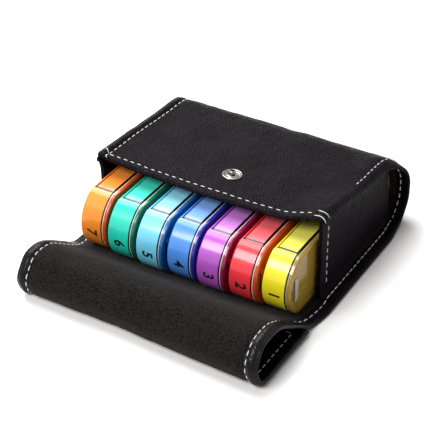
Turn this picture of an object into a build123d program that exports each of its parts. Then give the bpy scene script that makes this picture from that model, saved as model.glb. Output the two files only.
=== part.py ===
from build123d import *
import os
from math import cos, radians, sin

os.makedirs("parts", exist_ok=True)

# Frame: origin under the middle of the row of boxes, on the table. X runs along the row,
# -Y is the side that the flap opens to, +Z is up. All lengths are millimetres.

# The row of day boxes, counted from the right. Each box stands a little behind or before the row.
row_setbacks = (1.9, 0.1, -0.9, 0.2, -1.1, 0.1, 1.8)
box_gap = 2.5
box_height = 37.0
box_top_length = 101.8
nose_bulge = 12.2
bottom_radius = 5.0
soft_edge = 1.0
day_count = len(row_setbacks)

# Tray: the coloured half of a box, open to the right and at its lids.
tray_width = 14.0
left_wall = 1.2
tray_wall = 1.4
divider_wall = 1.2
divider_pitch = 34.0
seam_edge = 0.35

# Lids: plates that turn on moulded pins along their left edge.
frame_depth = 2.8
nose_bar = 1.6
hinge_bar = 3.0
lid_thickness = 1.2
lid_gap = 0.5
lid_edge = 0.3
barrel_radius = 1.0
barrel_gap = 0.4
barrel_drop = 0.1
pin_radius = 0.6
pin_fit = 0.08
pin_reach = 0.9
pin_end_gap = 0.2
catch_width = 5.0
catch_drop = 2.6
catch_thickness = 1.0
catch_inset = 1.0

# Side cover: the clear right wall of a box, with a slot for each button.
cover_width = 3.0
cover_wall = 1.2

# Buttons: bars that slide in the slots, each with a finger that reaches up to its lid.
button_height = 15.0
button_width = 4.4
button_raise = 0.6
button_gap = 0.25
button_from_nose = 7.1
button_center_share = 0.52
flange_margin = 1.0
flange_thickness = 0.8
flange_gap = 0.3
finger_width = 3.0
finger_top_gap = 3.4

# Case: one strip of leather and lining that runs under, behind and over the row.
leather = 1.7
lining = 0.9
seat_gap = 0.1
side_room = 2.0
gusset_thickness = 1.4
seam_flange = 7.1
lip_start = 7.5
lip_length = 13.1
lip_angle = 29.0
lip_radius = 12.0
back_room = 4.4
back_low_radius = 13.0
back_high_radius = 18.0
panel_back_gap = 2.5
panel_angle = 3.9
panel_setback = 19.0
gusset_front = 1.0
gusset_back = 1.0
gusset_rake = 6.0

# Flap: five links behind one another, curled forward and under.
flap_inset = 1.5
fold_gap = 0.3
rise_run = 23.5
crown_height = 24.0
crown_length = 13.5
brow_run = 8.5
brow_share = 0.54
toe_run = 4.0
tail_length = 44.0

# Snap: a stud on the top panel and a socket near the tip of the flap.
snap_x = 2.5
snap_from_edge = 22.0
snap_from_tip = 17.6
snap_radius = 5.9
snap_flange = 0.8
snap_floor_gap = 0.3
nib_radius = 2.0
nib_height = 2.4
nib_gap = 0.3
socket_wall = 0.9
socket_gap = 0.1
cap_thickness = 1.2
cap_edge = 0.8
post_radius = 1.2
post_gap = 0.1
plate_radius = 4.5
plate_thickness = 0.6

overrun = 1.0

# Places that follow from the sizes above.
strip = leather + lining
half_top = box_top_length / 2
half_length = half_top + nose_bulge
box_width = tray_width + cover_width
box_pitch = box_width + box_gap
row_half = (box_pitch * (day_count - 1) + box_width) / 2
row_floor = strip + seat_gap
gusset_x = row_half + side_room
strip_width = 2 * (gusset_x + gusset_thickness + seam_flange)
flap_width = strip_width - 2 * flap_inset


def along_x(face, low, high):
    """Extrude a face drawn in (y, z) from x = low to x = high."""
    return Pos(low, 0, 0) * extrude(Plane.YZ * face, amount=high - low)


def block(x, y, z):
    """Make a box from its (low, high) pairs."""
    size = Box(x[1] - x[0], y[1] - y[0], z[1] - z[0])
    return Pos((x[0] + x[1]) / 2, (y[0] + y[1]) / 2, (z[0] + z[1]) / 2) * size


def rod(x, z, y, radius):
    """Make a round bar along Y from its (low, high) pair."""
    return Pos(x, (y[0] + y[1]) / 2, z) * Rot(90, 0, 0) * Cylinder(radius, y[1] - y[0])


def box_outline():
    """Draw the side view of a day box: flat top and bottom, bulging noses."""
    middle = box_height / 2
    top = Line((-half_top, box_height), (half_top, box_height))
    back = ThreePointArc((half_top, box_height), (half_length, middle), (half_top, 0))
    bottom = Line((half_top, 0), (-half_top, 0))
    front = ThreePointArc((-half_top, 0), (-half_length, middle), (-half_top, box_height))
    face = make_face([top, back, bottom, front])
    return fillet(face.vertices().group_by(Axis.Y)[0], bottom_radius)


outline = box_outline()

# Each lid fills one window between the bars of the tray's top.
divider_y = divider_pitch / 2
bar_edges = (
    (-half_top + nose_bar, -divider_y - hinge_bar / 2),
    (-divider_y + hinge_bar / 2, divider_y - hinge_bar / 2),
    (divider_y + hinge_bar / 2, half_top - nose_bar),
)
hinge_x = left_wall + barrel_gap + barrel_radius
hinge_z = box_height - barrel_drop - barrel_radius
pin_hole_depth = pin_reach + pin_end_gap

# Each button sits below its lid, and the end ones sit close to the noses.
button_ys = (
    -half_length + button_from_nose,
    sum(bar_edges[1]) / 2,
    half_length - button_from_nose,
)
button_z = box_height * button_center_share


def make_tray():
    """Mould the tray: shell, dividers, lid windows and pin holes."""
    shell = along_x(outline, 0, tray_width)
    shell = fillet(shell.faces().sort_by(Axis.X)[0].edges(), soft_edge)
    shell = chamfer(shell.faces().sort_by(Axis.X)[-1].edges(), seam_edge)
    hollow = along_x(offset(outline, -tray_wall), left_wall, tray_width)
    frame_z = (box_height - frame_depth, box_height + overrun)
    wide = (0, tray_width)
    hollow -= block(wide, (-half_length, half_length), frame_z)
    for place in (-divider_y, divider_y):
        wall_y = (place - divider_wall / 2, place + divider_wall / 2)
        hollow -= block(wide, wall_y, (0, box_height))
    tray = shell - hollow
    for low, high in bar_edges:
        tray -= block((left_wall, tray_width + overrun), (low, high), frame_z)
        hole_y = (low - pin_hole_depth, high + pin_hole_depth)
        tray -= rod(hinge_x, hinge_z, hole_y, pin_radius + pin_fit)
    return tray


def make_lid(low, high):
    """Mould one lid: plate, hinge barrel, pins and the catch that hangs from its free edge."""
    lid_y = (low + lid_gap, high - lid_gap)
    free_x = tray_width - lid_gap
    plate_z = (box_height - lid_thickness, box_height)
    plate = block((hinge_x, free_x), lid_y, plate_z)
    upper_edges = plate.faces().sort_by(Axis.Z)[-1].edges().sort_by(Axis.X)[1:]
    plate = chamfer(upper_edges, lid_edge)
    barrel = rod(hinge_x, hinge_z, lid_y, barrel_radius)
    pin = rod(hinge_x, hinge_z, (low - pin_reach, high + pin_reach), pin_radius)
    catch_x = free_x - catch_inset
    middle = (low + high) / 2
    catch = block(
        (catch_x - catch_thickness, catch_x),
        (middle - catch_width / 2, middle + catch_width / 2),
        (plate_z[0] - catch_drop, plate_z[1] - lid_edge),
    )
    return plate + barrel + pin + catch


def button_slot(center_y, grow):
    """Draw the bar's outline, grown by a margin, at its place on the cover."""
    height = button_height + 2 * grow
    width = button_width + 2 * grow
    return Pos(center_y, button_z) * SlotOverall(height, width, rotation=90)


def make_cover():
    """Mould the side cover: a shallow pan with a slot for each button."""
    right = tray_width + cover_width
    pan = along_x(outline, tray_width, right)
    pan = fillet(pan.faces().sort_by(Axis.X)[-1].edges(), soft_edge)
    pan = chamfer(pan.faces().sort_by(Axis.X)[0].edges(), seam_edge)
    pan -= along_x(offset(outline, -cover_wall), tray_width, right - cover_wall)
    for center_y in button_ys:
        pan -= along_x(button_slot(center_y, button_gap), tray_width, right + overrun)
    return pan


def make_button(center_y, lid_middle):
    """Mould one button: bar, flange behind the cover, and the finger that reaches to the lid."""
    right = tray_width + cover_width
    flange_right = right - cover_wall - flange_gap
    flange_x = (flange_right - flange_thickness, flange_right)
    bar = along_x(button_slot(center_y, 0), flange_right, right + button_raise)
    bar = chamfer(bar.faces().sort_by(Axis.X)[-1].edges(), lid_edge)
    flange = along_x(button_slot(center_y, flange_margin), *flange_x)
    arm_top = button_z + button_height / 2
    arm_y = (min(center_y, lid_middle - finger_width / 2), max(center_y, lid_middle + finger_width / 2))
    arm = block(flange_x, arm_y, (arm_top - finger_width, arm_top))
    finger_y = (lid_middle - finger_width / 2, lid_middle + finger_width / 2)
    finger = block(flange_x, finger_y, (arm_top - finger_width, box_height - finger_top_gap))
    return bar + flange + arm + finger


# The strip's outer side, from the fold at the lip round the back to the edge of the top panel.
lip_along = Vector(-cos(radians(lip_angle)), sin(radians(lip_angle)))
lip_up = Vector(sin(radians(lip_angle)), cos(radians(lip_angle)))
lip_foot = Vector(lip_start - half_length, 0)
back_y = half_length + max(row_setbacks) + back_room + strip
panel_up = Vector(sin(radians(panel_angle)), cos(radians(panel_angle)))
panel_rear = Vector(half_top, row_floor + box_height + panel_back_gap) + panel_up * strip
panel_slope = -sin(radians(panel_angle)) / cos(radians(panel_angle))
panel_front_y = panel_setback - half_top


def panel_top(y):
    """Give the point of the panel's upper side at this y."""
    return Vector(y, panel_rear.Y + (y - panel_rear.X) * panel_slope)


strip_path = FilletPolyline(
    lip_foot + lip_along * (lip_length - fold_gap / 2),
    lip_foot,
    (back_y, 0),
    panel_top(back_y),
    panel_top(panel_front_y),
    radius=(lip_radius, back_low_radius, back_high_radius),
)
strip_wire = Wire(strip_path.edges())


def on_panel(solid):
    """Carry a solid drawn upright at the origin to the snap's place on the top panel."""
    spot = panel_top(panel_front_y + snap_from_edge)
    return Pos(snap_x, spot.X, spot.Y) * Rot(-panel_angle, 0, 0) * solid


def sheet(thickness):
    """Make the strip from its outer side to this thickness, with a hole for the snap's post."""
    face = Face(strip_wire.offset_2d(thickness, side=Side.LEFT, closed=True))
    hole = Cylinder(post_radius + post_gap, 2 * strip + overrun)
    return along_x(face, -strip_width / 2, strip_width / 2) - on_panel(hole)


def make_gusset():
    """Cut the right gusset: it stands on the strip's lower run and carries the panel's edge."""
    front_y = panel_front_y - gusset_front
    back_high = back_y - back_high_radius - gusset_back
    lower = -panel_up * strip
    top_front = panel_top(front_y) + lower
    top_back = panel_top(back_high) + lower
    points = (
        (front_y, strip),
        (back_high + gusset_rake, strip),
        top_back,
        top_front,
    )
    face = make_face(Polyline(*points, close=True))
    return along_x(face, gusset_x, gusset_x + gusset_thickness)


# The flap's fold lines, on its lining side, from the lip to the tip.
tail_z = snap_flange + snap_floor_gap
folds = [lip_foot + lip_along * lip_length + lip_up * strip]
folds.append(Vector(folds[0].X - rise_run, crown_height))
folds.append(folds[1] - Vector(crown_length, 0))
folds.append(Vector(folds[2].X - brow_run, crown_height * brow_share))
folds.append(Vector(folds[3].X + toe_run, tail_z))
folds.append(folds[4] + Vector(tail_length, 0))
runs = [(end - start).normalized() for start, end in zip(folds, folds[1:])]
socket_y = folds[-1].X - snap_from_tip


def flap_point(index, depth):
    """Give the point this far below the lining side, on the mitre at a fold line or at the tip."""
    before = runs[index - 1] if index else lip_along
    after = runs[min(index, len(runs) - 1)]
    normals = Vector(-before.Y, before.X), Vector(-after.Y, after.X)
    mitre = (normals[0] + normals[1]) / (1 + normals[0].dot(normals[1]))
    return folds[index] + mitre * depth


def flap_sheet(number, top, bottom):
    """Make one layer of a flap link, between two depths below its lining side."""
    tip_link = number == len(runs)
    near_gap = runs[number - 1] * (fold_gap / 2)
    far_gap = Vector() if tip_link else near_gap
    corners = (
        flap_point(number - 1, top) + near_gap,
        flap_point(number, top) - far_gap,
        flap_point(number, bottom) - far_gap,
        flap_point(number - 1, bottom) + near_gap,
    )
    face = make_face(Polyline(*corners, close=True))
    layer = along_x(face, -flap_width / 2, flap_width / 2)
    if tip_link:
        bore = nib_radius + nib_gap + socket_wall + socket_gap
        layer -= Pos(snap_x, socket_y, tail_z) * Cylinder(bore, 2 * (strip + overrun))
    return layer


def make_stud():
    """Turn the stud: flange on the panel and a nib."""
    flange = Cylinder(snap_radius, snap_flange, align=(Align.CENTER, Align.CENTER, Align.MIN))
    nib_full = nib_height + snap_flange
    nib = Cylinder(nib_radius, nib_full, align=(Align.CENTER, Align.CENTER, Align.MIN))
    flange = chamfer(flange.edges().sort_by(Axis.Z)[-1], lid_edge)
    nib = chamfer(nib.edges().sort_by(Axis.Z)[-1], lid_edge)
    return on_panel(flange + nib)


def make_post():
    """Turn the stud's post and its plate under the lining."""
    post = Cylinder(post_radius, strip, align=(Align.CENTER, Align.CENTER, Align.MAX))
    plate = Cylinder(plate_radius, plate_thickness, align=(Align.CENTER, Align.CENTER, Align.MAX))
    return on_panel(post + Pos(0, 0, -strip) * plate)


def make_socket():
    """Turn the socket: a flange under the lining and a barrel through the flap."""
    bore = nib_radius + nib_gap
    flange = Cylinder(snap_radius, snap_flange, align=(Align.CENTER, Align.CENTER, Align.MAX))
    barrel = Cylinder(bore + socket_wall, strip, align=(Align.CENTER, Align.CENTER, Align.MIN))
    hole = Cylinder(bore, 2 * (strip + snap_flange))
    return Pos(snap_x, socket_y, tail_z) * (flange + barrel - hole)


def make_cap():
    """Turn the cap that closes the socket on the leather side."""
    cap = Cylinder(snap_radius, cap_thickness, align=(Align.CENTER, Align.CENTER, Align.MIN))
    cap = fillet(cap.edges().sort_by(Axis.Z)[-1], cap_edge)
    return Pos(snap_x, socket_y, tail_z + strip) * cap


def save(solid, name):
    """Write one node."""
    export_step(solid, f"parts/{name}.step")


# The boxes are alike, so each piece is made once and set at seven places.
middles = [(low + high) / 2 for low, high in bar_edges]
lids = [make_lid(low, high) for low, high in bar_edges]
buttons = [make_button(place, middle) for place, middle in zip(button_ys, middles)]
box_pieces = {
    "tray": make_tray(),
    "side_cover": make_cover(),
    "front_lid": lids[0],
    "rear_lids": Compound(children=lids[1:]),
    "front_button": buttons[0],
    "rear_buttons": Compound(children=buttons[1:]),
}
for index, setback in enumerate(row_setbacks):
    left_face = row_half - box_width - index * box_pitch
    for piece, solid in box_pieces.items():
        save(Pos(left_face, setback, row_floor) * solid, f"day_{index + 1}_{piece}")

case_leather = sheet(leather)
save(case_leather, "case_leather")
save(sheet(strip) - case_leather, "case_lining")
right_gusset = make_gusset()
save(right_gusset, "right_gusset")
save(mirror(right_gusset, about=Plane.YZ), "left_gusset")
for number in range(1, len(folds)):
    save(flap_sheet(number, lining, strip), f"flap_{number}_leather")
    save(flap_sheet(number, 0, lining), f"flap_{number}_lining")
save(make_stud(), "snap_stud")
save(make_post(), "snap_stud_post")
save(make_socket(), "snap_socket")
save(make_cap(), "snap_cap")
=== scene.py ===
import bmesh
import bpy
import numpy as np
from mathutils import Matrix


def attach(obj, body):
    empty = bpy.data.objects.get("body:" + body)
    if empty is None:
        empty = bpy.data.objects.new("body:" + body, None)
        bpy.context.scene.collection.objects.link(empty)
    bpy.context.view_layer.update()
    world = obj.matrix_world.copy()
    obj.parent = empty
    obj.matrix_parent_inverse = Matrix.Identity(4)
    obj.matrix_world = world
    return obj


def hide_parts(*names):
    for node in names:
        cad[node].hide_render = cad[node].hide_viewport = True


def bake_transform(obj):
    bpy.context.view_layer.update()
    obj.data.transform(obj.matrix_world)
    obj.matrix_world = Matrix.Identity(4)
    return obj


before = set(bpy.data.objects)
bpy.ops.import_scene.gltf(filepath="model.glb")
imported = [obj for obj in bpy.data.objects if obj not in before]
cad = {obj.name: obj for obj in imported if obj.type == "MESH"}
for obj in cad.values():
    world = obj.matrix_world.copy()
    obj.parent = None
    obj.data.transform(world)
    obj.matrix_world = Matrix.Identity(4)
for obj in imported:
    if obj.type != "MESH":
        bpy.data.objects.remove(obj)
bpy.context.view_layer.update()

# Day trays: the coloured bodies of the seven boxes, day 1 on the right. Each is injection moulded
# in glossy polypropylene with rounded noses, open to the right, and pushed into the row.
mm = 0.001
days = range(1, 8)
first_left, row_pitch = 50.0, 19.5
row_setbacks = (1.9, 0.1, -0.9, 0.2, -1.1, 0.1, 1.8)
left_faces = [first_left - row_pitch * index for index in range(len(days))]
tray_width, joint_half, tray_gloss = 14.0, 0.55, 0.16
tray_colours = ("#f4e526", "#f63c46", "#bb5cc9", "#5698f0", "#7fdcf8", "#2adcc2", "#f8922a")
deep_colours = ("#e6cc1c", "#e02834", "#9a3cb0", "#3a74d8", "#4cb8e4", "#12b494", "#f27a14")
# Shade tones are painted shade for the grooves and gaps between parts.
shade_tones = ("#2a1f08", "#300508", "#260622", "#070c34", "#082436", "#03241c", "#381004")


def linear(colour):
    """An sRGB hex colour as linear red, green, blue and alpha."""
    value = np.array([int(colour[i : i + 2], 16) for i in (1, 3, 5)]) / 255
    low, high = value / 12.92, ((value + 0.055) / 1.055) ** 2.4
    return (*np.where(value <= 0.04045, low, high).tolist(), 1.0)


def add(tree, kind, inputs=None, **settings):
    """Add a node, set its properties, and fill or link its inputs by name or number."""
    made = tree.nodes.new("ShaderNode" + kind)
    for name, value in settings.items():
        setattr(made, name, value)
    for key, value in (inputs or {}).items():
        if isinstance(value, bpy.types.NodeSocket):
            tree.links.new(value, made.inputs[key])
        else:
            made.inputs[key].default_value = value
    return made


def start_material(name, **sockets):
    """Start a material: its node tree, its shader with plain socket values, and Object coordinates."""
    material = bpy.data.materials.new(name)
    material.use_nodes = True
    tree = material.node_tree
    shader = tree.nodes["Principled BSDF"]
    for key, value in sockets.items():
        shader.inputs[key.replace("_", " ")].default_value = value
    place = add(tree, "TexCoord").outputs["Object"]
    return material, tree, shader, place


def moulded_plastic(name, colour, deep, gloss, clear=0.0, lines=()):
    """Injection-moulded polypropylene or polystyrene: a glossy skin with faint flow marks, a slight orange
    peel and painted bands, which are painted shade in joints and gaps and painted highlights along lit edges.
    The flow marks are 16 mm long and the peel is 1.4 mm wide, which is coarser than the real one so that it
    shows. Each band is an axis, a place on it and a half width in mm, and a tone, which is full over the core
    of that width and fades out to its edge."""
    flow_length, peel_width, peel_depth = 16 * mm, 1.4 * mm, 0.2 * mm
    core_share, rough_spread = 0.75, 0.08
    material, tree, shader, place = start_material(
        name, IOR=1.49, Coat_Weight=0.25, Coat_Roughness=0.06, Transmission_Weight=clear
    )
    flow = add(tree, "TexNoise", {"Vector": place, "Scale": 1 / flow_length, "Detail": 2.0})
    share = add(tree, "MapRange", {"Value": flow.outputs["Fac"], 1: 0.3, 2: 0.7, 3: 0.0, 4: 0.35})
    skin = add(tree, "Mix", {0: share.outputs[0], 6: linear(colour), 7: linear(deep)}, data_type="RGBA")
    axes = add(tree, "SeparateXYZ", {0: place})
    for axis, middle, half, tone in lines:
        off = add(tree, "Math", {0: axes.outputs[axis], 1: middle * mm}, operation="SUBTRACT")
        near = add(tree, "Math", {0: off.outputs[0]}, operation="ABSOLUTE")
        core, edge = core_share * half * mm, half * mm
        mask = add(tree, "MapRange", {"Value": near.outputs[0], 1: core, 2: edge, 3: 1.0, 4: 0.0})
        skin = add(tree, "Mix", {0: mask.outputs[0], 6: skin.outputs[2], 7: linear(tone)}, data_type="RGBA")
    tree.links.new(skin.outputs[2], shader.inputs["Base Color"])
    rough = add(tree, "MapRange", {"Value": flow.outputs["Fac"], 3: gloss, 4: gloss + rough_spread})
    tree.links.new(rough.outputs[0], shader.inputs["Roughness"])
    peel = add(tree, "TexNoise", {"Vector": place, "Scale": 1 / peel_width, "Detail": 1.0})
    bump = add(tree, "Bump", {"Height": peel.outputs["Fac"], "Strength": 0.06, "Distance": peel_depth})
    tree.links.new(bump.outputs[0], shader.inputs["Normal"])
    return material


def dress(node, material):
    """Give a node of the frame its material."""
    cad[node].data.materials.clear()
    cad[node].data.materials.append(material)


for day, colour, deep, left, tone in zip(days, tray_colours, deep_colours, left_faces, shade_tones):
    # The seam band is painted shade in the groove between the tray and its cover.
    seam = (0, left + tray_width, joint_half, tone)
    plastic = moulded_plastic(f"moulded_polypropylene_{day}", colour, deep, tray_gloss, lines=[seam])
    dress(f"day_{day}_tray", plastic)

# Day numerals: one printed on the lower half of each nose, reading downwards. They are pad printed
# in black ink with faint pale spots, so each is a thin film that follows the nose's curve.
nose_radius, nose_centre_y, nose_centre_z = 20.13, -42.97, 21.2
numeral_size, numeral_bold, numeral_across, numeral_drop = 9.0, 0.24, 7.4, 0.1
ink_film, ink_spot_width = 0.05, 0.8
ink, ink_tree, ink_shader, ink_place = start_material("pad_printed_ink", Roughness=0.38)
ink_spots = add(ink_tree, "TexNoise", {"Vector": ink_place, "Scale": 1 / (ink_spot_width * mm)})
ink_tone = add(ink_tree, "ValToRGB", {"Fac": ink_spots.outputs["Fac"]})
ink_tone.color_ramp.elements[0].color = linear("#0c0b0b")
ink_tone.color_ramp.elements[1].color = linear("#1d1b1a")
ink_tree.links.new(ink_tone.outputs[0], ink_shader.inputs["Base Color"])


def make_piece(name, points, faces, material, smooth_angle=40):
    """A mesh object at the origin from points in millimetres and faces, with outward normals."""
    mesh = bpy.data.meshes.new(name)
    mesh.from_pydata((np.asarray(points) * mm).tolist(), [], [list(face) for face in faces])
    shape = bmesh.new()
    shape.from_mesh(mesh)
    bmesh.ops.recalc_face_normals(shape, faces=shape.faces)
    shape.to_mesh(mesh)
    shape.free()
    mesh.shade_smooth()
    mesh.set_sharp_from_angle(angle=np.radians(smooth_angle))
    mesh.materials.append(material)
    piece = bpy.data.objects.new(name, mesh)
    bpy.context.scene.collection.objects.link(piece)
    return piece


for day, setback, left in zip(days, row_setbacks, left_faces):
    letter = bpy.data.curves.new(f"figure_{day}", "FONT")
    letter.body = str(day)
    letter.size, letter.offset = numeral_size, numeral_bold
    letter.align_x, letter.align_y = "CENTER", "CENTER"
    flat = bpy.data.objects.new(f"figure_{day}", letter)
    bpy.context.scene.collection.objects.link(flat)
    figure = bpy.data.meshes.new_from_object(flat.evaluated_get(bpy.context.evaluated_depsgraph_get()))
    bpy.data.objects.remove(flat)
    fine = bmesh.new()
    fine.from_mesh(figure)
    bmesh.ops.triangulate(fine, faces=fine.faces)
    bmesh.ops.subdivide_edges(fine, edges=fine.edges, cuts=1)
    fine.to_mesh(figure)
    fine.free()
    flat_points = np.array([v.co for v in figure.vertices])
    flat_faces = [list(p.vertices) for p in figure.polygons]
    turn = -numeral_drop - flat_points[:, 0] / nose_radius
    reach = nose_radius + ink_film
    wrapped = np.stack(
        [
            left + numeral_across + flat_points[:, 1],
            setback + nose_centre_y - reach * np.cos(turn),
            nose_centre_z + reach * np.sin(turn),
        ],
        axis=1,
    )
    numeral = make_piece(f"day_{day}_numeral", wrapped, flat_faces, ink)
    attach(numeral, f"day_{day}_box")

# Lids: flip plates that turn on moulded pins along their left edge and close the compartments.
# They are moulded in the same polypropylene with a fine satin face. Their paler colours stand partly for that
# face and partly for a painted reflection of the bright sky on their tops.
lid_free, lid_front, lid_joint, front_joint = 13.15, -48.05, 0.5, 0.85
lid_gloss, lid_clearness = 0.2, 0.05
sky_lit_lid_colours = ("#faf474", "#fb7078", "#cc88da", "#86b4f4", "#9ee4fa", "#4ce2ca", "#f8923a")
lid_set = zip(days, sky_lit_lid_colours, tray_colours, left_faces, row_setbacks, shade_tones)
for day, colour, deep, left, setback, tone in lid_set:
    # The bands along the lid's free and front edges are painted shade in the gaps round it.
    joints = [(0, left + lid_free, lid_joint, tone), (1, setback + lid_front, front_joint, tone)]
    name = f"satin_polypropylene_{day}"
    satin = moulded_plastic(name, colour, deep, lid_gloss, clear=lid_clearness, lines=joints)
    dress(f"day_{day}_front_lid", satin)
    dress(f"day_{day}_rear_lids", satin)

# Side covers: the thin right walls, snapped onto the trays. They are moulded in clear tinted
# polystyrene, so the tray's inside shows through them. Their colours are darkened as painted shade, on days 2
# to 6 shifted towards the colour of the box on their right as a painted reflection, and a pale band on the
# cut edge is a painted highlight.
highlight_offset, highlight_half, painted_highlight_tone, cover_gloss = 0.75, 0.26, "#efe9dc", 0.1
cover_shade_reflection_colours = ("#d8b648", "#e85a22", "#b02066", "#2c3cb8", "#1f7cc0", "#0c8062", "#ea5a1c")
cover_shade_reflection_deeps = ("#b8902e", "#c63c14", "#84123e", "#1c2690", "#145c9c", "#065a44", "#cc4410")
cover_clearness = (0.6, 0.25, 0.25, 0.25, 0.25, 0.25, 0.25)
cover_set = zip(days, cover_shade_reflection_colours, cover_shade_reflection_deeps, cover_clearness, left_faces, shade_tones)
for day, colour, deep, clear, left, tone in cover_set:
    # The seam band is painted shade in the groove between cover and tray, and the pale band beside it is a
    # painted highlight.
    seam = (0, left + tray_width, joint_half, tone)
    painted_highlight_band = (0, left + tray_width + highlight_offset, highlight_half, painted_highlight_tone)
    name = f"clear_polystyrene_{day}"
    glassy = moulded_plastic(name, colour, deep, cover_gloss, clear=clear, lines=[seam, painted_highlight_band])
    dress(f"day_{day}_side_cover", glassy)

# Buttons: upright bars in the covers' slots that free the lids. They are moulded in a milky
# polystyrene and slide on the flange behind the cover. Except on day 1 they take the covers' colours, with
# the same painted shade and reflection, and the arm behind the cover is painted in a darker tone as shade.
bar_middle, bar_half, bar_edge_half, arm_middle, arm_half = -56.0, 2.2, 0.4, -41.0, 13.0
button_gloss = 0.18
button_colours = ("#b4ac9c", *cover_shade_reflection_colours[1:])
button_deeps = ("#8d8676", *cover_shade_reflection_deeps[1:])
arm_shade_tones = ("#7a6226", *cover_shade_reflection_deeps[1:])
button_set = zip(days, button_colours, button_deeps, arm_shade_tones, row_setbacks, shade_tones)
for day, colour, deep, arm_shade_tone, setback, tone in button_set:
    # Dark bands at both ends of the bar are painted shade, and the arm's band is painted shade behind the
    # cover.
    edges = [(1, setback + bar_middle + side * bar_half, bar_edge_half, tone) for side in (-1, 1)]
    edges.append((1, setback + arm_middle, arm_half, arm_shade_tone))
    milky = moulded_plastic(f"milky_polystyrene_{day}", colour, deep, button_gloss, lines=edges)
    dress(f"day_{day}_front_button", milky)
    dress(f"day_{day}_rear_buttons", milky)

# Case strip: one long strip of black coated leather that runs from the top panel's front edge
# round the back, under the boxes and out into the flap. Its edges are turned in and sewn.
strip_thickness, lining_thickness, strip_half = 2.6, 0.9, 77.5
flap_half, panel_left_half, panel_right_half = 76.0, 75.7, 70.8
border, bed_gap, edge_radius, front_radius, corner_radius = 8.2, 0.05, 1.4, 2.3, 4.0
stitch_inset, floor_inset, front_inset, stitch_pitch = 6.9, 5.5, 4.7, 4.7
dent_width, dent_depth, dent_ripple = 0.9, 0.24, 0.08
lip_width, lip_height, welt_height, roll_swell = 3.7, 0.45, 1.3, 1.0
panel_bow, bow_reach, panel_sag, sag_reach = 2.8, 40.0, 1.0, 18.0
roll_start, roll_radius, pinch_height = 67.2, 1.3, 4.6
foot_flare, tail_shift, toe_skew, toe_start_share, tail_calm_share = 3.0, 3.2, 4.0, -0.4, 0.8
broad_length, broad_height, broad_seed = 34.0, 0.28, 3
fine_length, fine_height, fine_seed = 11.0, 0.1, 5
fold_points = ((-65.797, 8.625), (-89.297, 24.0), (-102.797, 24.0), (-111.297, 12.96), (-107.297, 1.1))
strip_corners = (
    (-31.9, 47.86),
    (69.4, 40.94),
    (69.4, 2.6),
    (-54.9, 2.6),
    (-89.0, 25.0),
    (-103.3, 24.9),
    (-112.3, 12.8),
    (-108.5, 1.1),
    (-60.3, 1.1),
)
strip_radii = (18.0, 14.5, 14.0, 25.0, 9.0, 8.0, 6.5)
strip_step, strip_softening = 0.25, 12


def rounded_path(corners, radii, step):
    """Straight runs between the corners, each corner turned into an arc of its radius, at even steps."""
    corners = np.asarray(corners, float)
    runs = [corners[:1]]
    share = np.linspace(0, 1, 25)[:, None]
    for before, corner, after, radius in zip(corners, corners[1:], corners[2:], radii):
        back = (before - corner) / np.linalg.norm(before - corner)
        ahead = (after - corner) / np.linalg.norm(after - corner)
        half = np.arccos(np.clip(back @ ahead, -1, 1)) / 2
        centre = corner + (back + ahead) / np.linalg.norm(back + ahead) * radius / np.sin(half)
        start = corner + back * radius / np.tan(half) - centre
        end = corner + ahead * radius / np.tan(half) - centre
        sweep = np.pi - 2 * half
        arc = start * np.sin((1 - share) * sweep) + end * np.sin(share * sweep)
        runs.append(centre + arc / np.sin(sweep))
    runs.append(corners[-1:])
    line = np.concatenate(runs)
    reach = np.concatenate([[0], np.cumsum(np.linalg.norm(np.diff(line, axis=0), axis=1))])
    even = np.linspace(0, reach[-1], int(round(reach[-1] / step)) + 1)
    return np.stack([np.interp(even, reach, line[:, k]) for k in (0, 1)], axis=1)


def soften(line, count):
    """Average each point of a path with its neighbours, with the ends carried straight on."""
    ahead = line[-1] + (line[-1] - line[-2]) * np.arange(1, count + 1)[:, None]
    back = line[0] + (line[0] - line[1]) * np.arange(count, 0, -1)[:, None]
    longer = np.concatenate([back, line, ahead])
    weight = np.hanning(2 * count + 3)[1:-1]
    weight /= weight.sum()
    return np.stack([np.convolve(longer[:, k], weight, "valid") for k in (0, 1)], axis=1)


strip_line = soften(rounded_path(strip_corners, strip_radii, strip_step), strip_softening)
strip_run = np.concatenate([[0], np.cumsum(np.linalg.norm(np.diff(strip_line, axis=0), axis=1))])
strip_along = np.gradient(strip_line, axis=0)
strip_along /= np.linalg.norm(strip_along, axis=1)[:, None]
strip_out = np.stack([-strip_along[:, 1], strip_along[:, 0]], axis=1)
strip_end = strip_run[-1]
fold_runs = [strip_run[np.argmin(np.linalg.norm(strip_line - fold, axis=1))] for fold in fold_points]

# A fade is a stretch over which a form comes or goes, along the strip or, for the pinch's rise, across it.
panel_end, floor_start, floor_end = 84.0, 136.0, fold_runs[0] - 14.0
narrow_fade = (panel_end - 6.0, panel_end + 30.0)
roll_fade = (panel_end - 20.0, panel_end + 30.0)
welt_fade = (panel_end - 6.0, panel_end + 16.0)
inset_fades = ((panel_end, panel_end + 20.0), (floor_end - 6.0, floor_end + 14.0))
flare_fades = ((floor_start - 8.0, floor_start + 22.0), (floor_end - 16.0, floor_end + 10.0))
floor_fades = ((floor_start - 14.0, floor_start), (floor_end, floor_end + 12.0))
flap_fade = (fold_runs[0] - 12.0, fold_runs[0] + 4.0)
swell_fade = (fold_runs[0] - 12.0, fold_runs[0] + 6.0)
toe_fades = ((fold_runs[1], fold_runs[3]), (fold_runs[4], strip_end))
tail_fade = (fold_runs[2], fold_runs[4] + 8.0)
calm_fade = (fold_runs[4] - 6.0, fold_runs[4] + 4.0)
front_fade, pinch_fade, pinch_rise = (0.0, 6.0), (8.0, 64.0), (44.0, 68.0)


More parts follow.
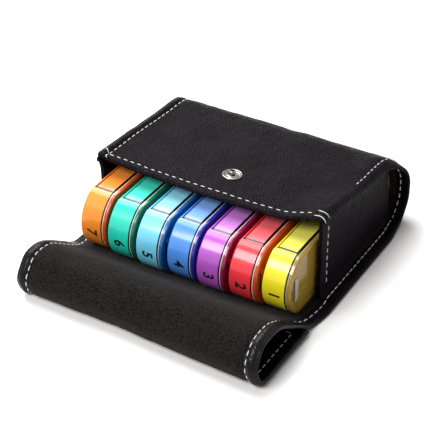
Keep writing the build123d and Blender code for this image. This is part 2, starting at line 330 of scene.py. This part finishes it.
def ease(value, low, high):
    """A smooth step from 0 at low to 1 at high."""
    share = np.clip((value - low) / (high - low), 0, 1)
    return share * share * (3 - 2 * share)


def between(value, fades):
    """1 between two fades and 0 outside them: the first's smooth step times one less the second's."""
    return ease(value, *fades[0]) * (1 - ease(value, *fades[1]))


def waves(x, s, length, seed):
    """Smooth random undulation between about -1 and 1: sixteen plane waves of about this length, each with
    its own heading and phase, added up."""
    wave_count, wave_scale = 16, 5.0
    chance = np.random.default_rng(seed)
    heading = chance.uniform(0, np.pi, wave_count)
    number = 2 * np.pi / (length * chance.uniform(0.7, 1.5, wave_count))
    phase = chance.uniform(0, 2 * np.pi, wave_count)
    total = np.zeros(np.broadcast(x, s).shape)
    for turn, count, shift in zip(heading, number, phase):
        total += np.cos(count * (x * np.cos(turn) + s * np.sin(turn)) + shift)
    return total / wave_scale


def lay_strip(x, s, d):
    """Set points of the flat strip on the case's path: x across it, s along it from the panel's front edge,
    d from its lining side towards the leather. The panel's front edge bows forward and sags, its right
    border stands up at the front and rolls down as an arc, and the free parts undulate a little."""
    x, s, d = np.broadcast_arrays(np.asarray(x, float), np.asarray(s, float), np.asarray(d, float))
    on_panel, on_flap = 1 - ease(s, *narrow_fade), ease(s, *flap_fade)
    corner = corner_radius - np.sqrt(corner_radius**2 - np.clip(corner_radius - s, 0, corner_radius) ** 2)
    flap_change = on_flap * (flap_half - strip_half)
    half_left = strip_half + on_panel * (panel_left_half - strip_half) + flap_change - corner
    half_right = strip_half + on_panel * (panel_right_half - strip_half) + flap_change
    half_right = half_right + foot_flare * between(s, flare_fades)
    across = np.where(x < 0, x * half_left, x * half_right) / strip_half
    arch = 1 - (x / strip_half) ** 2
    bow = panel_bow * arch * np.clip(1 - s / bow_reach, 0, 1) ** 2
    sag = panel_sag * arch * np.clip(1 - s / sag_reach, 0, 1) ** 2
    most = np.pi / 2 * (1 - ease(s, *roll_fade))
    arc = np.clip(across - roll_start, 0, None)
    angle = np.minimum(arc / roll_radius, most)
    rest = arc - angle * roll_radius
    free = (1 - between(s, floor_fades)) * (1 - tail_calm_share * ease(s, *calm_fade))
    broad = broad_height * waves(x, s, broad_length, broad_seed)
    fine = fine_height * waves(x, s, fine_length, fine_seed)
    lift = free * (broad + fine) * ease(s, *front_fade)
    lift = lift + pinch_height * (1 - ease(s, *pinch_fade)) * ease(across, *pinch_rise)
    rolled, reach = arc > 0, roll_radius + d
    side = np.where(rolled, roll_start + reach * np.sin(angle) + rest * np.cos(angle), across)
    rise = np.where(rolled, reach * np.cos(angle) - roll_radius - rest * np.sin(angle), d) + lift
    y, z = (np.interp(s, strip_run, strip_line[:, k]) for k in (0, 1))
    out_y, out_z = (np.interp(s, strip_run, strip_out[:, k]) for k in (0, 1))
    toe = between(s, toe_fades) * ease(x, toe_start_share * strip_half, strip_half)
    side = side + tail_shift * ease(s, *tail_fade) * ease(x, 0, strip_half)
    return np.stack([side, y + rise * out_y - toe_skew * toe - bow, z + rise * out_z - sag], axis=-1)


def seam_inset(s):
    """How far the side seams lie from the strip's edges: less on the floor and round the back."""
    return stitch_inset + between(s, inset_fades) * (floor_inset - stitch_inset)


def pucker(distance, s):
    """The dent that a row of stitches pulls into the leather: a bell curve across the seam, with a cosine
    along it that is deepest under each stitch."""
    depth = dent_depth + dent_ripple * np.cos(2 * np.pi * s / stitch_pitch)
    return np.exp(-((distance / dent_width) ** 2)) * depth


def beyond_seam(out):
    """How far a place lies beyond the side seam, from 0 at the seam to 1 where the edge turns in."""
    return np.clip((out - strip_half + stitch_inset) / (stitch_inset - edge_radius), 0, 1)


def padding(x, s):
    """How far the leather side stands up outside its seams: a welt along the panel's left border and a
    thinner one along its front edge, each a half sine wave across."""
    welt = welt_height * np.sin(np.pi * beyond_seam(-x)) * (1 - ease(s, *welt_fade))
    lip = np.clip(1 - s / lip_width, 0, 1)
    return np.maximum(welt, lip_height * np.sin(np.pi * lip))


def closer_at_edges(middle_share, edge_share, middle_count, edge_count):
    """Places from -1 to 1: even ones over the middle share, and closer ones from the edge share outwards."""
    edge = np.linspace(edge_share, 1, edge_count)
    return np.concatenate([-edge[::-1], np.linspace(-middle_share, middle_share, middle_count), edge])


def leather_rows(s, lined):
    """Closed sections across the leather at each s: border, turned edge, outer face, other edge, other
    border, and the shallow bed that the lining lies in. lined is 1 where there is a bed."""
    middle, face_margin = strip_thickness / 2, 0.5
    face = closer_at_edges(0.85, 0.86, 86, 16) * (strip_half - edge_radius)
    bead = np.linspace(-np.pi / 2, np.pi / 2, 9)[1:-1]
    rim_x = strip_half - edge_radius + edge_radius * np.cos(bead)
    rim_d = middle + edge_radius * np.sin(bead)
    shelf = np.linspace(strip_half - border, strip_half - edge_radius, 9)
    bed_half = strip_half - border - bed_gap
    bed = np.linspace(-bed_half, bed_half, 24)
    ring_x = np.concatenate([shelf, rim_x, face[::-1], -rim_x[::-1], -shelf[::-1], bed])
    ring_d = np.concatenate([0 * shelf, rim_d, 0 * face + strip_thickness, rim_d[::-1], 0 * shelf, 0 * bed])
    x = np.broadcast_to(ring_x, (len(s), len(ring_x)))
    d = np.broadcast_to(ring_d, x.shape).copy()
    is_bed = np.arange(len(ring_x)) >= len(ring_x) - len(bed)
    d[:, is_bed] = lining_thickness * lined[:, None]
    s = np.broadcast_to(s[:, None], x.shape)
    on_shelf = (d == 0) & ~is_bed
    d = d - on_shelf * roll_swell * np.sin(np.pi * beyond_seam(np.abs(x))) * ease(s, *swell_fade)
    d = d + (d == strip_thickness) * padding(x, s)
    dent = pucker(np.abs(x) - (strip_half - seam_inset(s)), s)
    outside, inside = d > middle + face_margin, d < face_margin
    dented = np.where(outside, d - dent, np.where(inside, d + dent, d))
    return x, s, np.where(is_bed, d, dented)


def rounded_end(s, d, end, radius):
    """Thin the sections near an end of the strip to a rounded edge, as a half circle."""
    nearest = 0.985
    near = np.clip(1 - np.abs(s - end) / radius, 0, nearest)
    return strip_thickness / 2 + (d - strip_thickness / 2) * np.sqrt(1 - near**2)


def tube_faces(rows, count):
    """Faces of a closed tube of sections, with both ends capped."""
    i, j = np.meshgrid(np.arange(rows - 1), np.arange(count), indexing="ij")
    k = (j + 1) % count
    sides = np.stack([i * count + j, (i + 1) * count + j, (i + 1) * count + k, i * count + k], -1)
    caps = [np.arange(count)[::-1].tolist(), (np.arange(count) + (rows - 1) * count).tolist()]
    return sides.reshape(-1, 4).tolist() + caps


def coated_leather(name, sheen):
    """Black polyurethane-coated split leather, embossed with a pebble grain and creased where it was
    folded: near black with a violet cast and a soft sheen. The pebbles are 1.1 mm wide, drawn a little
    coarser than the real ones so that they show. The flap's turned borders are smoother and polished by
    handling."""
    pebble_width, pebble_depth, crease_length, crease_depth = 1.1 * mm, 0.6 * mm, 7 * mm, 0.45 * mm
    patch_width, polished_relief, polished_sheen = 24 * mm, 0.4, 0.24
    dull_x, polished_x, dull_y, polished_y = 67.5 * mm, 69.5 * mm, -45.0 * mm, -55.0 * mm
    material, tree, shader, place = start_material(
        name, IOR=1.47, Specular_IOR_Level=0.02, Coat_Roughness=0.18
    )
    pebbles = add(tree, "TexVoronoi", {"Vector": place, "Scale": 1 / pebble_width}, feature="SMOOTH_F1")
    crumpled = {"Vector": place, "Scale": 1 / crease_length, "Detail": 6.0, "Roughness": 0.65}
    creases = add(tree, "TexNoise", crumpled).outputs["Fac"]
    patches = add(tree, "TexNoise", {"Vector": place, "Scale": 1 / patch_width, "Detail": 3.0})
    tone = add(tree, "ValToRGB", {"Fac": patches.outputs["Fac"]})
    tone.color_ramp.elements[0].position, tone.color_ramp.elements[1].position = 0.35, 0.7
    tone.color_ramp.elements[0].color = linear("#0a070b")
    tone.color_ramp.elements[1].color = linear("#130f15")
    tree.links.new(tone.outputs[0], shader.inputs["Base Color"])
    rough = add(tree, "MapRange", {"Value": creases, 1: 0.3, 2: 0.7, 3: 0.3, 4: 0.46})
    tree.links.new(rough.outputs[0], shader.inputs["Roughness"])
    crease_bump = add(tree, "Bump", {"Height": creases, "Strength": 0.35, "Distance": crease_depth})
    axes = add(tree, "SeparateXYZ", {0: place})
    side = add(tree, "Math", {0: axes.outputs[0]}, operation="ABSOLUTE").outputs[0]
    on_border = add(tree, "MapRange", {"Value": side, 1: dull_x, 2: polished_x})
    on_flap = add(tree, "MapRange", {"Value": axes.outputs[1], 1: dull_y, 2: polished_y})
    polish = add(tree, "Math", {0: on_border.outputs[0], 1: on_flap.outputs[0]}, operation="MULTIPLY")
    relief = add(tree, "MapRange", {"Value": polish.outputs[0], 3: 1.0, 4: polished_relief})
    gloss = add(tree, "MapRange", {"Value": polish.outputs[0], 3: sheen, 4: polished_sheen})
    tree.links.new(gloss.outputs[0], shader.inputs["Coat Weight"])
    pebbled = {"Height": pebbles.outputs["Distance"], "Strength": relief.outputs[0], "Distance": pebble_depth}
    grain = add(tree, "Bump", {**pebbled, "Normal": crease_bump.outputs[0]})
    tree.links.new(grain.outputs[0], shader.inputs["Normal"])
    tree.links.new(grain.outputs[0], shader.inputs["Coat Normal"])
    return material


leather = coated_leather("coated_leather", 0.03)
lip_cut = fold_runs[0] - 5.0
cuts = [lip_cut] + [(a + b) / 2 for a, b in zip(fold_runs, fold_runs[1:])] + [strip_end]
row_step = 1.1
front_rows = (0, 0.1, 0.3, 0.6, 1.0, 1.5, 2.0, 2.5)
tip_rows = (1.4, 1.0, 0.6, 0.3, 0.1, 0)


def leather_piece(name, low, high):
    """The leather of the strip between two places along it, with closer rows at the strip's own ends."""
    rows = np.linspace(low, high, int(round((high - low) / row_step)) + 1)
    if low == 0:
        rows = np.concatenate([front_rows, rows[3:]])
    if high == strip_end:
        rows = np.concatenate([rows[:-2], strip_end - np.array(tip_rows)])
    lined = ((rows > border) & (rows < strip_end - border)).astype(float)
    x, s, d = leather_rows(rows, lined)
    d = rounded_end(s, d, 0, front_radius)
    d = rounded_end(s, d, strip_end, edge_radius)
    points = lay_strip(x, s, d)
    return make_piece(name, points.reshape(-1, 3), tube_faces(*x.shape), leather)


case_skin = leather_piece("case_skin", 0, lip_cut)
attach(case_skin, "case")
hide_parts("case_leather")

# Case lining: brushed fabric glued inside the leather strip, between its turned borders. It has a
# short nap, and its edges are held down by the stitches.
lining_edge, lining_gap, lining_row_step = strip_half - border - 0.1, 0.2, 1.3
lining_proud, lining_sunk, lining_overlap, edge_reach = 0.45, 0.1, 0.05, 1.4


def brushed_fabric():
    """Brushed polyester: charcoal brown, with a short nap that scatters light and shows as fine specks.
    The specks are 1 mm wide, coarser than real fibres so that they show."""
    speck_width, nap_depth, shade_width, shade_share = 1.0 * mm, 0.6 * mm, 20 * mm, 0.1
    material, tree, shader, place = start_material(
        "brushed_polyester", Roughness=0.92, Specular_IOR_Level=0.06, Sheen_Weight=0.04, Sheen_Roughness=0.5
    )
    fibrous = {"Vector": place, "Scale": 1 / speck_width, "Detail": 2.0, "Roughness": 0.7}
    specks = add(tree, "TexNoise", fibrous).outputs["Fac"]
    shades = add(tree, "TexNoise", {"Vector": place, "Scale": 1 / shade_width, "Detail": 2.0})
    both = add(tree, "Math", {0: shades.outputs["Fac"], 1: shade_share, 2: specks}, operation="MULTIPLY_ADD")
    tone = add(tree, "MapRange", {"Value": both.outputs[0], 1: 0.42, 2: 0.68})
    dark, pale = linear("#060505"), linear("#24201f")
    nap = add(tree, "Mix", {0: tone.outputs[0], 6: dark, 7: pale}, data_type="RGBA")
    tree.links.new(nap.outputs[2], shader.inputs["Base Color"])
    bump = add(tree, "Bump", {"Height": specks, "Strength": 1.0, "Distance": nap_depth})
    tree.links.new(bump.outputs[0], shader.inputs["Normal"])
    return material


fabric = brushed_fabric()


def lining_piece(name, low, high):
    """The lining between two places along the strip: a thin closed sheet that rises from its sunk edges, as
    one less a decaying exponential, to stand a little proud in its middle."""
    low, high = max(low, border + lining_gap), min(high, strip_end - border - lining_gap)
    rows = np.linspace(low, high, int(round((high - low) / lining_row_step)) + 1)
    top = closer_at_edges(0.93, 0.94, 76, 8) * lining_edge
    proud = lining_proud * (1 - np.exp(-(lining_edge - np.abs(top)) / edge_reach)) - lining_sunk
    base = np.linspace(lining_edge, -lining_edge, 24)
    ring_x = np.concatenate([top, base])
    x, s = np.broadcast_to(ring_x, (len(rows), len(ring_x))), rows[:, None]
    edge = 1 - np.exp(-np.minimum(s - border, strip_end - border - s) / edge_reach)
    under = np.broadcast_to(0 * base + lining_thickness - lining_overlap, (len(rows), len(base)))
    d = np.concatenate([-proud * edge, under], axis=1)
    points = lay_strip(x, s, d)
    return make_piece(name, points.reshape(-1, 3), tube_faces(*x.shape), fabric)


case_lining = lining_piece("case_inner_lining", 0, lip_cut)
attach(case_lining, "case")
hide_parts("case_lining")

# Gussets: the two side walls, cut from the same leather. Each has its lower edge turned out and sewn
# to the strip's border, its front edge hemmed, and its top held by the panel.
gusset_thickness, gusset_front, gusset_back, gusset_rake = 1.4, -32.9, 53.0, -6.0
wall_x, left_wall_x, foot_x, top_x, wall_height = 69.0, 69.2, 73.6, 75.4, 40.0
foot_z, foot_radius, top_radius, profile_step, profile_softening = 2.8, 2.6, 4.0, 0.8, 4
hem_width, hem_swell, hem_seam_gap, groove_share, thin_share = 8.4, 0.8, 0.4, 0.9, 0.45
drawn_in, crumple_height, crumple_length, right_seed, left_seed = 0.5, 0.12, 14.0, 11, 12
flange_fade, flange_lift, tuck_depth, tuck_reach = (70.0, 75.0), 0.7, 1.6, 6.0
under_panel, panel_slope, panel_back, panel_front = 42.35, -0.06817, 51.077, strip_corners[0][0]
# The gussets get a copy of the leather with no coat sheen, so that they read darker: painted shade on the
# case's sides.
shaded_leather = coated_leather("shaded_coated_leather", 0.0)


def shell_faces(rows, count):
    """Faces of a thin closed wall: a front grid, a back grid behind it, and the rim between them."""
    i, j = np.meshgrid(np.arange(rows - 1), np.arange(count - 1), indexing="ij")
    front = np.stack([i * count + j, i * count + j + 1, (i + 1) * count + j + 1, (i + 1) * count + j], -1)
    front = front.reshape(-1, 4)
    back = front[:, ::-1] + rows * count
    edge = np.concatenate(
        [
            np.arange(count),
            np.arange(1, rows) * count + count - 1,
            (rows - 1) * count + np.arange(count - 2, -1, -1),
            np.arange(rows - 2, 0, -1) * count,
        ]
    )
    following = np.roll(edge, -1)
    rim = np.stack([edge, following, following + rows * count, edge + rows * count], -1)
    return np.concatenate([front, back, rim]).tolist()


def gusset_grid(side, offset):
    """A gusset's wall at an offset from its inner face: an (x, z) profile with a flange turned outwards at
    the foot, and on the left also at the top, carried from the hemmed front to the raked back. It is drawn
    in by half sine waves towards the middle."""
    corners, radii = [(foot_x, foot_z), (wall_x, foot_z), (wall_x, wall_height)], [foot_radius]
    if side < 0:
        corners[-1:] = [(left_wall_x, wall_height), (top_x, wall_height)]
        radii.append(top_radius)
    profile = soften(rounded_path(corners, radii, profile_step), profile_softening)
    across, up = profile[:, 0], profile[:, 1]
    normal = np.gradient(profile, axis=0)
    normal = np.stack([-normal[:, 1], normal[:, 0]], axis=1)
    normal /= np.linalg.norm(normal, axis=1)[:, None]
    q = np.linspace(0, 1, 70)[:, None]
    share = np.clip((up - up.min()) / (wall_height - up.min()), 0, 1)
    y = gusset_front + (gusset_back - gusset_rake * (1 - share) - gusset_front) * q
    top = under_panel + panel_slope * (y - panel_back)
    top += (side > 0) * pinch_height * (1 - ease(y - panel_front, *pinch_fade))
    hem = np.exp(-(((y - gusset_front) / hem_width) ** 4))
    groove = groove_share * pucker(y - gusset_front - hem_width - hem_seam_gap, up)
    drawn = drawn_in * np.sin(np.pi * share) * np.sin(np.pi * q) ** 0.5 * (share > 0.1)
    seed = right_seed if side > 0 else left_seed
    crumple = crumple_height * waves(y, up + 0 * y, crumple_length, seed) * share
    thin = thin_share + (1 - thin_share) * ease(np.arange(len(profile)), 0, 5)
    away = np.where(offset > 0, offset * thin + hem_swell * hem - groove, offset)
    flange = ease(across, *flange_fade) * (share > 0.5)
    tucked = tuck_depth * flange * (1 - ease(y - gusset_front, 0.0, tuck_reach))
    x = across - normal[:, 0] * away - drawn + crumple - tucked
    z = foot_z + (up - foot_z) / (wall_height - foot_z) * (top - foot_z) - normal[:, 1] * away
    return np.stack([side * x, y, z + flange_lift * flange], axis=-1)


for side, name in ((1, "right"), (-1, "left")):
    inner, outer = gusset_grid(side, 0.0), gusset_grid(side, gusset_thickness)
    points = np.concatenate([inner.reshape(-1, 3), outer.reshape(-1, 3)])
    gusset = make_piece(f"{name}_side_wall", points, shell_faces(*inner.shape[:2]), shaded_leather)
    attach(gusset, "case")
    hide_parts(f"{name}_gusset")

# Flap: the free end of the same strip, curled forward and under. Leather and lining are cut at the
# middle between fold lines, so that each piece holds one fold.
bodies = ["case", "flap_1", "flap_2", "flap_3", "flap_4", "flap_5"]
flap_pieces = range(1, len(bodies))


def bend(piece):
    """Bake a piece of the flap's transform into its mesh, so that it stands at the origin."""
    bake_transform(piece)


for number in flap_pieces:
    low, high = cuts[number - 1], cuts[number]
    skin = leather_piece(f"flap_skin_{number}", low, high)
    bend(skin)
    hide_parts(f"flap_{number}_leather")
    inside = lining_piece(f"flap_inner_lining_{number}", low, high)
    bend(inside)
    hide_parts(f"flap_{number}_lining")

# Stitches: lockstitched seams in white polyester thread, about 4.7 mm apart, along the turned edges,
# across the panel's front and the flap's tip, and up the gussets' hems. The thread has a soft twist.
stitch_share, thread_radius, thread_sink = 0.77, 0.31, 0.2
twist_width, twist_depth = 0.45, 0.1
right_seam_start, right_seam_shift, right_shift_fade, front_seam_stop = 50.0, 1.6, (70.0, 104.0), 9.0
flange_height, flange_front, flange_back = 1.5, (-34.0, -31.0), (54.0, 58.0)
thread, thread_tree, thread_shader, thread_place = start_material(
    "polyester_thread", Roughness=0.62, Sheen_Weight=0.2
)
twisted = {"Vector": thread_place, "Scale": 1 / (twist_width * mm), "Detail": 2.0}
twist = add(thread_tree, "TexNoise", twisted).outputs["Fac"]
twist_tone = add(thread_tree, "ValToRGB", {"Fac": twist})
twist_tone.color_ramp.elements[0].color = linear("#b9b4ac")
twist_tone.color_ramp.elements[1].color = linear("#f6f3ee")
thread_tree.links.new(twist_tone.outputs[0], thread_shader.inputs["Base Color"])
twist_bump = add(thread_tree, "Bump", {"Height": twist, "Strength": 0.4, "Distance": twist_depth * mm})
thread_tree.links.new(twist_bump.outputs[0], thread_shader.inputs["Normal"])


def sew(surface, u, v, step=stitch_pitch, share_sewn=stitch_share):
    """Stitches along a seam. surface gives a point from the seam's two flat coordinates and a height above
    the leather; each stitch is a small tube that dips into the leather at both ends, as a flattened half
    sine wave. Gives the tubes' points, one block of rings per stitch, and the second flat coordinate of
    each stitch's middle."""
    arch_share, sunk_share, end_share, probe = 1.1, 0.75, 0.72, 0.4
    line = surface(u, v, 0.0 * u)
    reach = np.concatenate([[0], np.cumsum(np.linalg.norm(np.diff(line, axis=0), axis=1))])
    count = max(1, int(reach[-1] / step))
    share = np.linspace(0, 1, 9)
    at = (np.arange(count)[:, None] + 0.5 + share_sewn * (share - 0.5)) * reach[-1] / count
    seam_u, seam_v = np.interp(at, reach, u), np.interp(at, reach, v)
    arch = thread_radius * (arch_share * np.sin(np.pi * share) ** 0.6 - sunk_share)
    spine = surface(seam_u, seam_v, arch)
    normal = surface(seam_u, seam_v, arch + probe) - spine
    normal /= np.linalg.norm(normal, axis=-1, keepdims=True)
    along = np.gradient(spine, axis=1)
    along /= np.linalg.norm(along, axis=-1, keepdims=True)
    beside = np.cross(along, normal)
    turn = np.arange(7) / 7 * 2 * np.pi
    thick = thread_radius * (1 - end_share * np.abs(2 * share - 1) ** 4)
    ring = beside[:, :, None] * np.cos(turn)[:, None] + normal[:, :, None] * np.sin(turn)[:, None]
    tubes = spine[:, :, None] + ring * thick[:, None, None]
    return tubes, np.interp((np.arange(count) + 0.5) * reach[-1] / count, reach, v)


def stitch_piece(name, groups):
    """One mesh from groups of stitch tubes."""
    tubes = np.concatenate(groups)
    count, rings, around = tubes.shape[:3]
    one = tube_faces(rings, around)
    faces = [[index + block * rings * around for index in face] for block in range(count) for face in one]
    return make_piece(name, tubes.reshape(-1, 3), faces, thread, 60)


def on_lining_side(x, s, height):
    """A point above the border on the lining side, or above the gusset's flange that lies on it."""
    place = np.interp(s, strip_run, strip_line[:, 0])
    on_floor = (s > floor_start) & (s < floor_end)
    flange = on_floor * between(place, (flange_front, flange_back))
    return lay_strip(x, s, thread_sink - height - flange * flange_height)


def on_leather_side(x, s, height):
    """A point above the leather's outer face."""
    return lay_strip(x, s, strip_thickness - thread_sink + height + padding(x, s))


side_seams = []
for side, seam_start in ((1, right_seam_start), (-1, front_inset)):
    seam_run = np.linspace(seam_start, strip_end - stitch_inset, 1500)
    shift = (side > 0) * right_seam_shift * (1 - ease(seam_run, *right_shift_fade))
    seam_x = side * (strip_half - seam_inset(seam_run)) + shift
    side_seams.append(sew(on_lining_side, seam_x, seam_run))
    side_seams.append(sew(on_leather_side, seam_x, seam_run))
front_x = np.linspace(-strip_half + stitch_inset, strip_half - front_seam_stop, 300)
front_seam = sew(on_leather_side, front_x, 0 * front_x + front_inset)
tip_x = np.linspace(-strip_half + stitch_inset, strip_half - stitch_inset, 300)
tip_s = 0 * tip_x + strip_end - stitch_inset
tip_seams = [sew(over, tip_x, tip_s) for over in (on_lining_side, on_leather_side)]

# Tacks are single stitches over the panel's front corners, each given by its ends across and along the strip.
tack_step = 40.0
tack_ends = (
    ((-70.6, -71.4), (front_inset, 0.4)),
    ((-70.6, -76.8), (front_inset, 9.6)),
    ((68.0, 76.0), (9.0, 7.0)),
    ((69.5, 76.0), (2.0, 1.8)),
)
tacks = []
for ends_x, ends_s in tack_ends:
    tack_x, tack_s = np.linspace(*ends_x, 60), np.linspace(*ends_s, 60)
    tacks.append(sew(on_leather_side, tack_x, tack_s, step=tack_step, share_sewn=1.0)[0])


def on_gusset(side):
    """A surface for the hem's seam on one gusset, by depth and height: its outer grid read between points."""
    outer = gusset_grid(side, gusset_thickness)
    middle_column = 40

    def place(u, v, height):
        row = np.interp(u, outer[:, middle_column, 1], np.arange(len(outer)))
        low = np.clip(row.astype(int), 0, len(outer) - 2)
        rise = np.interp(v, outer[0, :, 2], np.arange(outer.shape[1]))
        column = np.clip(rise.astype(int), 0, outer.shape[1] - 2)
        part_r, part_c = (row - low)[..., None], (rise - column)[..., None]
        near = outer[low, column] * (1 - part_c) + outer[low, column + 1] * part_c
        far = outer[low + 1, column] * (1 - part_c) + outer[low + 1, column + 1] * part_c
        point = near * (1 - part_r) + far * part_r
        point[..., 0] += side * np.asarray(height)
        return point

    return place


hem_low, hem_high = 8.0, 48.0
hem_v = np.linspace(hem_low, hem_high, 200)
hem_u = 0 * hem_v + gusset_front + hem_width + hem_seam_gap
hem_seams = [sew(on_gusset(side), hem_u, hem_v) for side in (1, -1)]
case_groups = [tubes[middle < lip_cut] for tubes, middle in side_seams] + [front_seam[0]]
case_groups += tacks + [tubes for tubes, middle in hem_seams]
case_stitches = stitch_piece("case_stitches", case_groups)
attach(case_stitches, "case")
for number in flap_pieces:
    low, high = cuts[number - 1], cuts[number]
    groups = [tubes[(middle >= low) & (middle < high)] for tubes, middle in side_seams]
    if number == flap_pieces[-1]:
        groups += [tubes for tubes, middle in tip_seams]
    flap_stitches = stitch_piece(f"flap_stitches_{number}", groups)
    bend(flap_stitches)

# Snap: a press stud riveted to the top panel, with its socket and cap on the flap's tip. Each part is
# stamped from sheet steel, nickel plated and tumbled, so it is bright with soft scratches.
scratch_width = 1.2
nickel, nickel_tree, nickel_shader, nickel_place = start_material("nickel_plated_steel", Metallic=1.0)
tumbled = {"Vector": nickel_place, "Scale": 1 / (scratch_width * mm), "Detail": 4.0}
scratches = add(nickel_tree, "TexNoise", tumbled).outputs["Fac"]
nickel_tone = add(nickel_tree, "ValToRGB", {"Fac": scratches})
nickel_tone.color_ramp.elements[0].color = linear("#5f5c5a")
nickel_tone.color_ramp.elements[1].color = linear("#a6a3a0")
nickel_tree.links.new(nickel_tone.outputs[0], nickel_shader.inputs["Base Color"])
nickel_rough = add(nickel_tree, "MapRange", {"Value": scratches, 3: 0.14, 4: 0.28})
nickel_tree.links.new(nickel_rough.outputs[0], nickel_shader.inputs["Roughness"])
for node in ("snap_stud_post", "snap_socket", "snap_cap"):
    dress(node, nickel)
stud_x, stud_y, stud_z, stud_tilt = 2.5, -9.9, 48.95, np.radians(-3.9)
stud_profile = np.array(
    [
        (0.02, -0.1), (5.9, -0.1), (5.9, 0.5), (5.7, 0.86), (5.3, 0.95), (4.9, 0.8), (4.6, 0.2), (4.1, 0.1),
        (3.8, 0.5), (3.5, 0.86), (3.1, 0.9), (2.7, 0.6), (2.5, 0.15), (1.9, 0.3), (1.75, 1.4), (1.95, 2.1),
        (2.0, 2.6), (1.8, 3.05), (1.55, 3.15), (1.3, 3.05), (1.2, 2.2), (1.15, 1.0), (0.02, 0.9),
    ]
)


def turned(name, profile, material, segments=48):
    """A piece turned about an upright axis from a profile of (radius, height) points, tilted with the panel
    and set in its place there."""
    angle = np.arange(segments) / segments * 2 * np.pi
    radius, height = profile[:, :1], profile[:, 1:]
    points = np.stack([radius * np.cos(angle), radius * np.sin(angle), height + 0 * angle], axis=-1)
    y = points[..., 1] * np.cos(stud_tilt) - points[..., 2] * np.sin(stud_tilt)
    z = points[..., 1] * np.sin(stud_tilt) + points[..., 2] * np.cos(stud_tilt)
    placed = np.stack([stud_x + points[..., 0], stud_y + y, stud_z + z], axis=-1)
    return make_piece(name, placed.reshape(-1, 3), tube_faces(len(profile), segments), material, 50)


stud = turned("press_stud", stud_profile, nickel)
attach(stud, "case")
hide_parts("snap_stud")

# Stage: a white paper floor, a white background that also shows in plastic and metal, two soft lights
# from the left and above, and the camera.
floor_half, ambient, background = 3.0, 0.28, 1.0
floor_corners = [(x * floor_half, y * floor_half, 0) for x, y in ((-1, -1), (1, -1), (1, 1), (-1, 1))]
sweep = bpy.data.meshes.new("floor")
sweep.from_pydata(floor_corners, [], [(0, 1, 2, 3)])
ground = bpy.data.objects.new("floor", sweep)
bpy.context.scene.collection.objects.link(ground)
paper_white = linear("#fbfaf8")
paper = start_material("white_paper", Roughness=0.9, Base_Color=paper_white, Specular_IOR_Level=0.1)[0]
sweep.materials.append(paper)

world = bpy.data.worlds.new("studio")
bpy.context.scene.world = world
world.use_nodes = True
sky = world.node_tree.nodes["Background"]
sky.inputs["Color"].default_value = linear("#ffffff")
path = add(world.node_tree, "LightPath")
shown = path.outputs["Is Camera Ray"]
for ray in ("Is Glossy Ray", "Is Transmission Ray"):
    shown = add(world.node_tree, "Math", {0: shown, 1: path.outputs[ray]}, operation="MAXIMUM").outputs[0]
strength = add(world.node_tree, "MapRange", {"Value": shown, 3: ambient, 4: background})
world.node_tree.links.new(strength.outputs[0], sky.inputs["Strength"])


def softbox(name, place, aim, size, power):
    """A square area light at a place, turned to shine at a point."""
    lamp = bpy.data.lights.new(name, "AREA")
    lamp.energy, lamp.size = power, size
    box = bpy.data.objects.new(name, lamp)
    bpy.context.scene.collection.objects.link(box)
    box.location = place
    away = np.array(place) - np.array(aim)
    box.rotation_mode = "XYZ"
    tilt, heading = np.arctan2(np.hypot(away[0], away[1]), away[2]), np.arctan2(away[0], -away[1])
    box.rotation_euler = (tilt, 0, heading)


softbox("key_light", place=(-0.5, 0.3, 0.85), aim=(0, 0, 0.02), size=0.9, power=16.5)
softbox("front_light", place=(-0.25, -0.75, 0.8), aim=(0, -0.05, 0.02), size=0.5, power=9.0)

camera_data = bpy.data.cameras.new("camera")
camera_data.lens, camera_data.sensor_width = 122.2, 36.0
camera_data.clip_start, camera_data.clip_end = 0.01, 20.0
camera = bpy.data.objects.new("camera", camera_data)
camera.location = (0.34338, -0.61008, 0.49215)
camera.rotation_euler = (0.97266, 0.0, 0.53054)
bpy.context.scene.collection.objects.link(camera)
bpy.context.scene.camera = camera
bpy.context.scene.view_settings.view_transform = "Standard"
